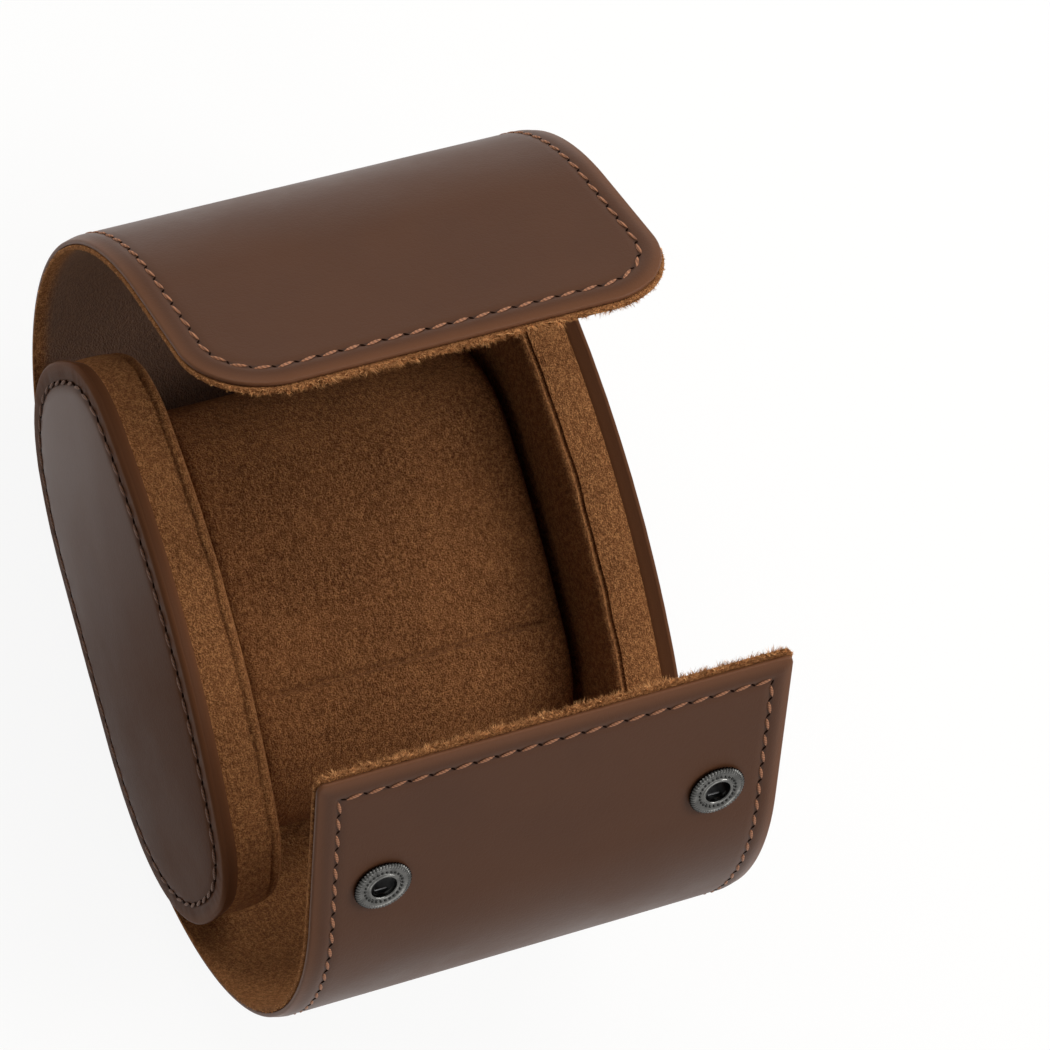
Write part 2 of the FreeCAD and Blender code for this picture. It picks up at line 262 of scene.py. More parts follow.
def leatherFace(x, s, distance):
    # how far the outside of a leather sheet sinks: it rolls at the edge, dips at the seam and waves a little
    roll = wrapSizes["edgeRoll"] * np.exp(-(distance / wrapSizes["edgeRollWidth"]) ** 2)
    fromSeam = (distance - wrapSizes["stitchInset"]) / wrapSizes["grooveWidth"]
    groove = wrapSizes["stitchGroove"] * np.exp(-fromSeam ** 2)
    settle = wrapSizes["waviness"] * smoothStep(distance, 1.0, 6.0)
    wave = np.sin(x / 13 + s / 19) * np.sin(s / 11 - x / 31) + 0.6 * np.sin(x / 7.3 - s / 15 + 1.2)
    return roll + groove + settle * (0.5 + 0.3 * wave)


def backLeatherFace(x, s, distance):
    # the same for the back, but plain where it lies flat and starts to bend
    return leatherFace(x, s, distance) * smoothStep(s, wrapLength(6.0), wrapLength(16.0))


def roundedFaces(distance, layer):
    # depths of a layer's two faces, both rounded at the edge
    outer, inner = layers[layer]
    outerRound = min(wrapSizes["edgeRound"], outer - inner) * wrapSizes["outerRound"]
    innerRound = wrapSizes["innerRound"] * (outer - inner)
    return outer - roundDrop(distance, outerRound), inner + roundDrop(distance, innerRound)


def wrapLayer(name, x, s, outer, inner, side, reach, kept=True):
    # a sheet between two depths of the wrap; it keeps how far each point is from the edge
    faces = [wrapPoint(x, np.abs(s), depth, side) for depth in (outer, inner)]
    return sheetPiece(name, *faces, {"edgeReach": reach}, kept)


def wrapSheet(name, side, layer):
    # flap or lip: one layer from the middle between the fold lines to the free edge
    grow, tip = (0, 0) if layer == "leather" else (wrapSizes["suedeProud"], wrapSizes["tipProud"])
    half, finish, corner = wrapSizes["halfWidth"] + grow, wrapEnd + tip, corners[side] + grow
    s = tipStations(foldMiddle, finish)[:, None]
    x = acrossShares(half)[None, :] * tipHalfWidth(s, finish, corner, half)
    x, s, kept = cutCircles(x, s + 0 * x, snapHoles if side < 0 else [], snapPlaces["holeRadius"])
    distance = np.maximum(edgeDistance(x, s, finish, corner, half), 0)
    outer, inner = roundedFaces(distance, layer)
    if layer == "leather":
        outer = outer - leatherFace(x, s, distance)
    return wrapLayer(name, x, s, outer, inner, side, distance, kept)


def bendAt(piece, side, line):
    # works out the middle of one fold line, fold or curl, and bakes the piece's placement into its mesh; the
    # piece is not bent
    turn = wrapSizes[line + "Turn"]
    middle = wrapPoint(0.0, np.array(wrapLength(turn)), wrapSizes["bendDepth"], side)
    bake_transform(piece)


foldMiddle = wrapLength((wrapSizes["foldTurn"] + wrapSizes["curlTurn"]) / 2)
wrapEnd = wrapLength(wrapSizes["turn"], wrapSizes["freeRun"])
thick = wrapSizes["leather"] + wrapSizes["suede"]
corners = {1: wrapSizes["flapCorner"], -1: wrapSizes["lipCorner"]}
snapPlaces = {"halfSpacing": 29.5, "fromEdge": 25.5, "studRun": 10.1, "holeRadius": 2.75}
snapHoles = [(hand * snapPlaces["halfSpacing"], wrapEnd - snapPlaces["fromEdge"]) for hand in (-1, 1)]
# outer and inner depth of each layer
layers = {"leather": (thick, wrapSizes["suede"]), "lining": (wrapSizes["suede"], 0.0)}
wings = ((1, "flap"), (-1, "lip"))
skins = []


def addSkin(piece, layer, side, word, line, *nodes):
    # a sheet is baked in place, stands for its solids and is kept with its layer, which picks its material
    # later
    bendAt(piece, side, line)
    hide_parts(*nodes)
    "outer_leather" if layer == "leather" else "suede"
    skins.append((piece, layer))


for side, word in wings:
    for layer in layers:
        piece = wrapSheet(word + layer.capitalize() + "Skin", side, layer)
        addSkin(piece, layer, side, word, "curl", word + "_" + layer, word + "_fold_" + layer)


def backGrid(stations, half):
    # straight rows across at each station, with the way to the nearer side
    x = acrossShares(half)[None, :] * half + 0 * stations[:, None]
    return x, stations[:, None] + 0 * x, half - np.abs(x)


def backSheet(name, side, first, layer):
    # one layer of the back, up to the middle between the fold lines
    half = wrapSizes["halfWidth"] + (0 if layer == "leather" else wrapSizes["suedeProud"])
    x, s, distance = backGrid(evenStations(first, foldMiddle), half)
    outer, inner = roundedFaces(distance, layer)
    if layer == "leather":
        outer = outer - backLeatherFace(x, s, distance)
    return wrapLayer(name, x, s, outer, inner, side, distance)


def upperBackSheet(name):
    # upper leather of the back: the lap on the lip's side, the flat, and the way up to the flap's fold
    lap = wrapLength(wrapSizes["lapTurn"])
    stations = np.concatenate([-np.linspace(lap, 0, 30), np.linspace(0, foldMiddle, 62)[1:]])
    x, s, distance = backGrid(stations, wrapSizes["halfWidth"])
    near = np.minimum(distance, s + lap)
    rise = np.where(s < -wrapSizes["flatHalf"], wrapSizes["lapRise"], 0.0)
    outer = thick - roundDrop(near, wrapSizes["lapRound"]) - backLeatherFace(x, s, distance)
    inner = wrapSizes["suede"] + rise + roundDrop(distance, wrapSizes["lapUnderRound"])
    return wrapLayer(name, x, s, outer, inner, np.where(s < 0, -1, 1), near)


upperBack = upperBackSheet("upperBackLeather")
addSkin(upperBack, "leather", 1, "flap", "fold", "back_upper_leather")
lowerStart = wrapLength(wrapSizes["lapTurn"]) + wrapSizes["lapGap"]
lowerBack = backSheet("lowerBackLeather", -1, lowerStart, "leather")
addSkin(lowerBack, "leather", -1, "lip", "fold", "back_lower_leather")
for side, word in wings:
    piece = backSheet("backLining" + word.capitalize() + "Side", side, 0.0, "lining")
    addSkin(piece, "lining", side, word, "fold", "back_lining")
print("wrap done")


# Stitching

stitchSizes = {"pitch": 3.75, "length": 2.8, "radius": 0.31, "slant": 12.0, "rise": 0.05, "discRise": 0.16,
               "flatness": 0.75, "discFlatness": 0.8, "holeLength": 1.3, "holeRadius": 0.24, "holeSink": 0.07,
               "holeSlant": -45.0, "startTurn": 18.0, "endGap": 1.0, "lookAhead": 0.8, "tightest": 0.9}


def capsule(rings=7, around=6, blunt=0.12):
    # a short thread: rings whose radius follows half a sine, with closed ends
    along = np.linspace(-0.5, 0.5, rings)
    radius = np.maximum(np.cos(along * math.pi) ** 0.5, blunt)
    angle = np.linspace(0, 2 * math.pi, around + 1)[:-1]
    points = np.stack([np.broadcast_to(along[:, None], (rings, around)), radius[:, None] * np.cos(angle),
                       radius[:, None] * np.sin(angle)], -1)
    return points.reshape(-1, 3), tubeFaces(rings, around)


threadShape, threadFaces = capsule()


def stitches(name, place, way, normal, hole, rise, flatness):
    # threads, or dark slits that paint the shade of needle holes, at the given places, slanted to the way
    # that their line runs
    tangent = unit(way)
    lean = math.radians(stitchSizes["holeSlant" if hole else "slant"])
    leaning = tangent * math.cos(lean) + np.cross(normal, tangent) * math.sin(lean)
    frames = np.stack([leaning, np.cross(normal, leaning), normal], 1)
    long, wide = ("holeLength", "holeRadius") if hole else ("length", "radius")
    scales = np.tile([stitchSizes[long], stitchSizes[wide], stitchSizes[wide] * flatness], (len(place), 1))
    lifted = place + normal * (-stitchSizes["holeSink"] if hole else rise)
    return repeated(name, threadShape, threadFaces, lifted, frames, scales)


def stitchRun(name, x, s, side, part, hole):
    # at an even pitch along a line that is given in the wrap's own coordinates; holes lie between threads
    line = wrapPoint(x, s, thick - wrapSizes["stitchGroove"], side)
    length, pitch, near = pathLength(line), stitchSizes["pitch"], stitchSizes["lookAhead"]
    at = np.arange(pitch * (1.0 if hole else 0.5), length[-1] - stitchSizes["endGap"], pitch)
    sAt = np.interp(at, length, s)
    used = (sAt > foldMiddle) == (part == "curl")
    at, sAt = at[used], sAt[used]
    way = pointsAt(at + near, length, line) - pointsAt(at - near, length, line)
    return stitches(name, pointsAt(at, length, line), way, wrapNormal(sAt, side), hole,
                    stitchSizes["rise"], stitchSizes["flatness"])


threads = []
stitchKinds = (("Stitches", False), ("StitchHoles", True))
# a run along the edge has two parts, above and below the middle between the fold lines
runParts = (("", "curl"), ("Root", "fold"))
inset = wrapSizes["stitchInset"]
for side, word in wings:
    radius, start = max(corners[side] - inset, stitchSizes["tightest"]), wrapLength(stitchSizes["startTurn"])
    x, s = tipOutline(wrapSizes["halfWidth"] - inset, wrapEnd - inset, radius, start)
    for kind, hole in stitchKinds:
        for place, part in runParts:
            thread = stitchRun(word + place + kind, x, s, side, part, hole)
            bendAt(thread, side, part)
            threads.append(thread)
print("stitching done")


# End walls

wallSizes = {
    "length": 85.0, "thickness": 11.5, "discThickness": 1.0, "discRim": 1.0, "discEdge": 0.7, "dome": 1.1,
    "domeStart": 1.6, "domeReach": 7.0, "stitchInset": 3.6, "stitchDip": 0.28, "dipWidth": 0.55,
    "seamBack": {-1: 2.4, 1: 1.8}, "bandPuff": 0.35, "panelPuff": 0.7, "edge": 1.2, "edgeDrop": 3.4,
    "stripWidth": 3.0, "stripLap": 0.15, "crease": 0.07, "creaseAt": 2.2, "creaseWidth": 0.8,
    "seamWander": 0.16, "wanderWidth": 1.6, "centreHeight": 29.0, "evenInset": 6.0,
}
# how deep the seam groove is at each distance from its middle
seamShape = ((0.7, 0.02), (0.4, -0.08), (0.2, -0.26), (0.0, -0.34), (-0.2, -0.26), (-0.35, -0.12),
             (-0.5, 0.0))
outlinePoints = 40
wallEnd = wallSizes["length"] / 2
# radius and turn of each arc that follows the flat, up to the top arc
wallArcs = [(49.4, 20.0), (24.5, 70.0), (50.0, 14.0), (17.0, 58.0)]
pillowArcs = [(25.5, 59.0), (20.0, 115.0)]


def sectionCurve(flat, arcs, lift, grow, count, topSteps=26):
    # closed outline: flat, arcs and a top arc, mirrored; it always has the same number of points
    y, z, heading = flat, lift - grow, 0.0
    ys, zs = [np.linspace(0, flat, count // 4, endpoint=False)], [np.full(count // 4, z)]
    for radius, turn in arcs:
        radius = radius + grow
        start, finish = math.radians(heading), math.radians(heading + turn)
        angle = np.radians(heading + np.linspace(0, turn, max(int(turn / 2.2), 6), endpoint=False))
        yMiddle, zMiddle = y - radius * math.sin(start), z + radius * math.cos(start)
        ys.append(yMiddle + radius * np.sin(angle))
        zs.append(zMiddle - radius * np.cos(angle))
        y, z = yMiddle + radius * math.sin(finish), zMiddle - radius * math.cos(finish)
        heading += turn
    start = math.radians(heading)
    radius = y / math.sin(start)
    angle = np.linspace(start, math.pi, topSteps)
    ys.append(radius * np.sin(angle))
    zs.append(z + radius * (math.cos(start) - np.cos(angle)))
    ys, zs = np.concatenate(ys), np.concatenate(zs)
    return np.concatenate([ys, -ys[-2:0:-1]]), np.concatenate([zs, zs[-2:0:-1]])


def wallCurve(grow):
    # outline of an end wall, moved outwards
    return sectionCurve(wrapSizes["flatHalf"], wallArcs, thick, grow, outlinePoints)


def wallRing(x, grow, shrink=1.0, lowGrow=None):
    # outline of the wall at one station, grown otherwise low down; the middle of its face shrinks instead
    y, z = wallCurve(grow)
    if lowGrow is not None:
        yLow, zLow = wallCurve(lowGrow)
        share = smoothStep(z, 8.0, 18.0)
        y, z = y * share + yLow * (1 - share), z * share + zLow * (1 - share)
    centre = wallSizes["centreHeight"]
    return np.stack([np.broadcast_to(x, y.shape), y * shrink, centre + (z - centre) * shrink], -1)


def roundWaves(count, repeats):
    # an uneven wave round a closed outline, between about -1 and 1
    share = np.linspace(0, 2 * math.pi, count, endpoint=False)
    return sum(np.sin(times * share + times ** 1.5) for times in repeats) / len(repeats) * 1.6


def discPiece(name, hand):
    # leather end: a strip turned over onto the band, a rounded rim, a domed face that dips at its stitching
    outerX, innerX = wallEnd, wallEnd - wallSizes["discThickness"]
    rim, edge, even = wallSizes["discRim"], wallSizes["discEdge"], wallSizes["evenInset"]
    stripX = outerX - wallSizes["stripWidth"]

    def swell(inset):
        past = max(inset - wallSizes["domeStart"], 0) / wallSizes["domeReach"]
        return 0.9 * wallSizes["dome"] * (1 - math.exp(-past))

    # each row: place along x, growth of the outline, share of its size, growth low down, way from the edge
    rows = [(stripX, -1.5, 1.0, -1.5, 0.1), (stripX, 0.05, 1.0, -1.0, 0.1),
            (stripX + 0.35, 0.34, 1.0, -1.0, 0.4), (stripX + 0.9, 0.55, 1.0, -1.0, 1.2),
            (innerX - 0.35, 0.78, 1.0, -1.0, 1.6), (innerX, 0.9, 1.0, -1.0, 1.8),
            (innerX, rim - 0.1, 1.0, rim - 0.15, 1.8), (innerX + 0.12, rim, 1.0, rim, 1.6)]
    for angle in np.linspace(0, math.pi / 2, 7):
        grow = rim - edge + edge * math.cos(angle)
        rows.append((outerX - edge + edge * math.sin(angle), grow, 1.0, grow, 1.2))
    for inset in (0.5, 0.9, 1.4, 1.9, 2.2, 2.5, 2.9, 3.4, 4.2, 5.2, even):
        fromSeam = (inset + rim - wallSizes["stitchInset"]) / wallSizes["dipWidth"]
        dip = wallSizes["stitchDip"] * math.exp(-fromSeam ** 2)
        rows.append((outerX + swell(inset) - dip, -inset, 1.0, -inset, inset + rim + 0.1))
    start, top = swell(even), 1.25 * wallSizes["dome"]
    for shrink in (0.93, 0.86, 0.78, 0.7, 0.6, 0.5, 0.4, 0.3, 0.2, 0.1, 0.03):
        rows.append((outerX + start + (top - start) * (1 - shrink ** 2), -even, shrink, None, 9.0))
    rings = np.stack([wallRing(hand * x, grow, shrink, low) for x, grow, shrink, low, _ in rows])
    reach = np.repeat(np.array([row[-1] for row in rows])[:, None], rings.shape[1], 1)
    nearRim = np.exp(-((reach - wallSizes["creaseAt"]) / wallSizes["creaseWidth"]) ** 2)
    creased = nearRim * roundWaves(rings.shape[1], (29, 41, 67, 83))
    rings[..., 0] -= hand * wallSizes["crease"] * creased
    return ringPiece(name, rings, attributes={"edgeReach": reach})


def wallPiece(name, hand):
    # padded suede wall: band, seam groove, rounded shoulder, and a softly domed panel towards the pillow
    outerX, innerX = wallEnd - wallSizes["discThickness"], wallEnd - wallSizes["thickness"]
    seamX, edge, sink = innerX + wallSizes["seamBack"][hand], wallSizes["edge"], wallSizes["edgeDrop"]
    bandX = wallEnd - wallSizes["stripWidth"] + wallSizes["stripLap"]
    puffed, even = wallSizes["panelPuff"], wallSizes["evenInset"]
    # each row: place along x, growth of the outline, share of its size, growth low down
    rows = [(outerX, -5.0, 1.0, -5.0), (outerX, -0.9, 1.0, -0.2), (bandX + 0.1, -0.8, 1.0, -0.1),
            (bandX, 0.2, 1.0, 0.0)]
    for share in np.linspace(0.04, 0.95, 13):
        puff = wallSizes["bandPuff"] * (0.35 + 0.65 * math.sin(math.pi * share) ** 0.5)
        rows.append((bandX + (seamX - bandX) * share, puff, 1.0, 0.0))
    rows += [(seamX + offset, drop, 1.0, drop) for offset, drop in seamShape]
    rows.append((innerX + edge, 0.05, 1.0, 0.0))
    for angle in np.linspace(0.15, math.pi / 2, 9):
        drop = -sink + sink * math.cos(angle)
        rows.append((innerX + edge - edge * math.sin(angle), drop, 1.0, drop))
    for inset in (4.0, 5.0, even):
        rows.append((innerX - 0.35 * puffed * (inset - 1.5) / 4.5, -inset, 1.0, -inset))
    for shrink in (0.92, 0.84, 0.74, 0.62, 0.5, 0.38, 0.26, 0.14, 0.04):
        rows.append((innerX - puffed * (0.35 + 0.65 * (1 - shrink ** 2)), -even, shrink, None))
    rings = np.stack([wallRing(hand * x, grow, shrink, low) for x, grow, shrink, low in rows])
    beside = np.exp(-((np.array([row[0] for row in rows]) - seamX) / wallSizes["wanderWidth"]) ** 2)
    rings[..., 0] += wallSizes["seamWander"] * beside[:, None] * roundWaves(rings.shape[1], (7, 12, 19, 31))
    return ringPiece(name, rings)


def discStitches(name, hand, hole):
    # the same round a disc's face, where the line closes and the pitch is spread evenly
    y, z = wallCurve(wallSizes["discRim"] - wallSizes["stitchInset"])
    line = np.stack([np.full(y.shape, hand * wallEnd), y, z], -1)
    line = np.concatenate([line, line[:1]])
    length = pathLength(line)
    count = int(round(length[-1] / stitchSizes["pitch"]))
    at = (np.arange(count) + (0.0 if hole else 0.5)) * length[-1] / count
    place = pointsAt(at, length, line)
    way = pointsAt((at + stitchSizes["lookAhead"]) % length[-1], length, line) - place
    normal = np.tile([hand * 1.0, 0.0, 0.0], (count, 1))
    return stitches(name, place, way, normal, hole, stitchSizes["discRise"], stitchSizes["discFlatness"])


discs, walls = [], []
hands = ((-1, "left"), (1, "right"))
for hand, word in hands:
    disc = discPiece(word + "Disc", hand)
    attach(disc, "case")
    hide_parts(word + "_end_disc_leather")
    discs.append(disc)
    wall = wallPiece(word + "Wall", hand)
    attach(wall, "case")
    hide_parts(word + "_end_suede_band", word + "_end_suede_panel", word + "_end_foam_core")
    walls.append(wall)
    for kind, hole in stitchKinds:
        thread = discStitches(word + "Disc" + kind, hand, hole)
        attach(thread, "case")
        threads.append(thread)
print("end walls done")


# Pillow

pillowSizes = {"length": 58.0, "lift": 0.3, "flatHalf": 12.0, "seamY": -15.0, "seamWidth": 0.5,
               "seamDepth": 0.85, "endRound": 2.4, "crown": 0.5, "pucker": 0.18, "endPuff": 0.9,
               "topSteps": 170}


def pillowPiece():
    # a stuffed tube whose ends draw in; its crown is highest in the middle and its seams pull it in
    half = pillowSizes["length"] / 2
    nearEnd = 1 - 0.5 * (1 - np.cos(np.linspace(0, math.pi / 2, 14)))
    shares = np.concatenate([nearEnd, np.linspace(0.5, 0, 22)[1:]])
    x = np.concatenate([-half * shares, (half * shares)[:-1][::-1]])
    draw = roundDrop(half - np.abs(x), pillowSizes["endRound"])
    rings = []
    for station, inset in zip(x, draw):
        y, z = sectionCurve(pillowSizes["flatHalf"], pillowArcs, thick + pillowSizes["lift"], -inset,
                            outlinePoints, pillowSizes["topSteps"])
        top = smoothStep(z, 20.0, 40.0)
        swell = pillowSizes["crown"] * (1 - (station / half) ** 2)
        ripple = np.sin(y * 1.15 + 2.0 * np.sin(z * 0.31)) * math.exp(-((abs(station) - half + 8) / 5.0) ** 2)
        z = z + top * (swell + pillowSizes["pucker"] * ripple)
        fromSeam = (y - pillowSizes["seamY"]) / pillowSizes["seamWidth"]
        seam = pillowSizes["seamDepth"] * np.exp(-fromSeam ** 2) * smoothStep(z, 30.0, 38.0)
        faded = min(1.0, max(0.0, (half - abs(station) - 1.0) / 4.0))
        rings.append(np.stack([np.full(y.shape, station), y, z - seam * faded], -1))
    caps = [0.02, 0.25, 0.5, 0.75, 0.92]

    def endCap(ring, hand):
        middle = np.array([ring[0, 0], 0.0, ring[:, 2].mean()])
        puff = hand * pillowSizes["endPuff"]
        return [middle + (ring - middle) * share + [puff * (1 - share ** 2), 0, 0] for share in caps]

    return ringPiece("pillow", np.stack(endCap(rings[0], -1) + rings + endCap(rings[-1], 1)[::-1]))


pillow = pillowPiece()
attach(pillow, "pillow")
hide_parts("pillow_foam", "pillow_cover", "pillow_left_end", "pillow_right_end")
print("pillow done")


# Snap fasteners

snapSizes = {"teeth": 52, "toothDepth": 0.24, "toothBand": (4.3, 5.1), "grooveShade": 0.85, "dots": 26,
             "dotRadius": 3.25, "dotLevel": 0.78, "dotSize": (0.544, 0.272, 0.204), "ridgeLightFrom": 0.5,
             "ridgeLightOver": 0.35, "socketSteps": 208, "studSteps": 64}


def spokes(outward, count):
    # directions at even angles round an axis
    first = np.array([1.0, 0.0, 0.0])
    angle = np.linspace(0, 2 * math.pi, count, endpoint=False)
    return angle, np.cos(angle)[:, None] * first + np.sin(angle)[:, None] * np.cross(outward, first)


def lathe(name, profile, place, outward, closed, steps, teeth=0):
    # a profile of radius and height, turned round an axis; a band of it is cut into fine teeth; it carries a
    # share for painted highlight on the ridges and painted shade low down and in the teeth's grooves
    outward = np.array(outward)
    angle, away = spokes(outward, steps)
    radius, height = np.array(profile).T
    low, high = snapSizes["toothBand"]
    inBand = ((radius > low) & (radius < high) & (teeth > 0)).astype(float)
    groove = inBand[:, None] * (0.5 + 0.5 * np.cos(angle * teeth))
    cutRadius = radius[:, None] - snapSizes["toothDepth"] * groove
    points = np.asarray(place) + cutRadius[..., None] * away + height[:, None, None] * outward
    # painted highlight on the high parts of the profile, painted shade low down, in the hole and in the
    # grooves between teeth
    ridgeLight = np.clip((height - snapSizes["ridgeLightFrom"]) / snapSizes["ridgeLightOver"], 0, 1)[:, None]
    return ringPiece(name, points, closed, {"ridgeLight": ridgeLight * (1 - snapSizes["grooveShade"] * groove)})


def dottedRing(name, place, outward):
    # small dark marks in a circle, each half sunk into the ring
    outward, count = np.array(outward), snapSizes["dots"]
    away = spokes(outward, count)[1]
    frames = np.stack([np.cross(outward, away), away, np.broadcast_to(outward, away.shape)], 1)
    where = np.asarray(place) + away * snapSizes["dotRadius"] + outward * snapSizes["dotLevel"]
    return repeated(name, threadShape, threadFaces, where, frames, np.tile(snapSizes["dotSize"], (count, 1)))


snapMetal = []
lastTurn = math.radians(wrapSizes["turn"])
lipOut = (0.0, -math.sin(lastTurn), -math.cos(lastTurn))
flapIn = (0.0, -math.sin(lastTurn), math.cos(lastTurn))
socketProfile = [(2.2, 0.0), (2.2, 0.8), (2.26, 0.94), (2.42, 1.02), (2.62, 1.0), (2.76, 0.9), (2.84, 0.8),
                 (3.0, 0.78), (3.6, 0.8), (4.1, 0.82), (4.22, 0.9), (4.34, 0.94), (4.5, 0.9), (4.75, 0.76),
                 (4.92, 0.6), (4.98, 0.45), (4.98, 0.3), (4.9, 0.18), (4.7, 0.0)]
studProfile = [(0.02, 2.4), (0.6, 2.38), (0.95, 2.28), (1.2, 2.1), (1.3, 1.9), (1.25, 1.7), (1.05, 1.55),
               (1.0, 1.3), (1.0, 0.8), (1.2, 0.6), (1.8, 0.5), (3.0, 0.45), (3.4, 0.38), (3.58, 0.22),
               (3.6, 0.0), (0.9, -0.02), (0.02, -0.02)]
for hand, word in hands:
    x = hand * snapPlaces["halfSpacing"]
    base = wrapPoint(x, np.array(wrapEnd - snapPlaces["fromEdge"]), thick, -1)
    seat = wrapPoint(x, np.array(wrapLength(wrapSizes["turn"], snapPlaces["studRun"])), 0.0, 1)
    socket = lathe(word + "Socket", socketProfile, base, lipOut, True, snapSizes["socketSteps"],
                   snapSizes["teeth"])
    dots = dottedRing(word + "SocketDots", base, lipOut)
    stud = lathe(word + "Stud", studProfile, seat, flapIn, False, snapSizes["studSteps"])
    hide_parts("snap_sockets")
    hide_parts("snap_studs")
    for piece, body in ((socket, "lip"), (dots, "lip"), (stud, "flap")):
        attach(piece, body)
        snapMetal.append(piece)
print("snaps done")


# Cut suede fibres along the raw edges

fibreSizes = {"tuftsPerMillimetre": 8, "inTuft": 6, "length": 1.25, "rootLength": 0.4, "radius": 0.055,
              "spread": 0.6, "loose": 0.35, "scatter": 0.07, "sunk": 0.3, "sideTrim": 0.7, "rootTurn": 4.0}
chance = np.random.default_rng(5)
needle = np.array([[0, 1, 0], [0, -0.5, 0.87], [0, -0.5, -0.87], [1, 0, 0]], float)
needleFaces = [np.array([[0, 2, 1], [0, 1, 3], [1, 2, 3], [2, 0, 3]])]


def fibreRun(name, side, part):
    # thin needles that stand out of the lining's cut edge at random slants
    root = part == "fold"
    low, high = (wrapLength(fibreSizes["rootTurn"]), foldMiddle) if root else (foldMiddle, math.inf)
    longest = fibreSizes["rootLength" if root else "length"]
    half = wrapSizes["halfWidth"] + wrapSizes["suedeProud"]
    radius = corners[side] + wrapSizes["suedeProud"]
    line = np.stack(tipOutline(half, wrapEnd + wrapSizes["tipProud"], radius, low), -1)
    length, inTuft = pathLength(line), fibreSizes["inTuft"]
    tufts = int(length[-1] * fibreSizes["tuftsPerMillimetre"])
    at = np.repeat(chance.uniform(0, length[-1], tufts), inTuft)
    at = at + chance.normal(0, fibreSizes["scatter"], len(at))
    lean = np.repeat(chance.normal(0, fibreSizes["spread"], (tufts, 2)), inTuft, 0)
    reach = np.repeat(chance.uniform(0.4, 1.0, tufts) ** 2, inTuft)
    level = np.repeat(chance.uniform(0.1, wrapSizes["suede"] - 0.05, tufts), inTuft)
    tone = np.repeat(chance.uniform(0, 1, tufts), inTuft)
    xAt, sAt = pointsAt(at, length, line).T
    used = (sAt >= low) & (sAt < high)
    xAt, sAt, at, lean, reach, level, tone = (a[used] for a in (xAt, sAt, at, lean, reach, level, tone))
    count = len(at)
    dx, ds = (pointsAt(at + 0.5, length, line) - pointsAt(at - 0.5, length, line)).T
    size = np.maximum(np.hypot(dx, ds), 1e-6)
    outX, outS = -ds / size, dx / size
    angleAt = wrapAngle(sAt)
    along = np.stack([np.zeros(count), side * np.cos(angleAt), np.sin(angleAt)], -1)
    normal = wrapNormal(sAt, side)
    away = outX[:, None] * np.array([1.0, 0, 0]) + outS[:, None] * along
    place = wrapPoint(xAt, sAt, level, side) - away * fibreSizes["sunk"]
    loose = lean + chance.normal(0, fibreSizes["loose"], (count, 2))
    way = unit(away + normal * loose[:, :1] * 0.6 + np.cross(away, normal) * loose[:, 1:])
    second = unit(np.cross(way, normal))
    frames = np.stack([way, second, np.cross(way, second)], 1)
    size = (0.5 + reach * chance.uniform(0.6, 1.1, count)) * (1 - fibreSizes["sideTrim"] * np.abs(outX))
    thin = fibreSizes["radius"] * (0.7 + 0.5 * reach)
    scales = np.stack([size * longest, thin, thin], -1)
    tone = np.clip(tone + chance.normal(0, 0.2, count), 0, 1)
    return repeated(name, needle, needleFaces, place, frames, scales, {"shade": tone})


fibres = []
for side, word in wings:
    for place, part in runParts:
        piece = fibreRun(word + place + "Fibres", side, part)
        bendAt(piece, side, part)
        fibres.append(piece)
print("fibres done")


# Materials

class socketValue:
    # wraps a shader socket so that maths on it adds Math nodes

    def __init__(self, graph, socket):
        self.graph, self.socket = graph, socket

    def maths(self, operation, *others):
        return self.graph.node("ShaderNodeMath", {"operation": operation}, dict(enumerate((self,) + others)))

    def __add__(self, other):
        return self.maths("ADD", other)

    __radd__ = __add__

    def __mul__(self, other):
        return self.maths("MULTIPLY", other)

    __rmul__ = __mul__

    def __sub__(self, other):
        return self.maths("SUBTRACT", other)

    def __rsub__(self, other):
        return self.graph.node("ShaderNodeMath", {"operation": "SUBTRACT"}, {0: other, 1: self})


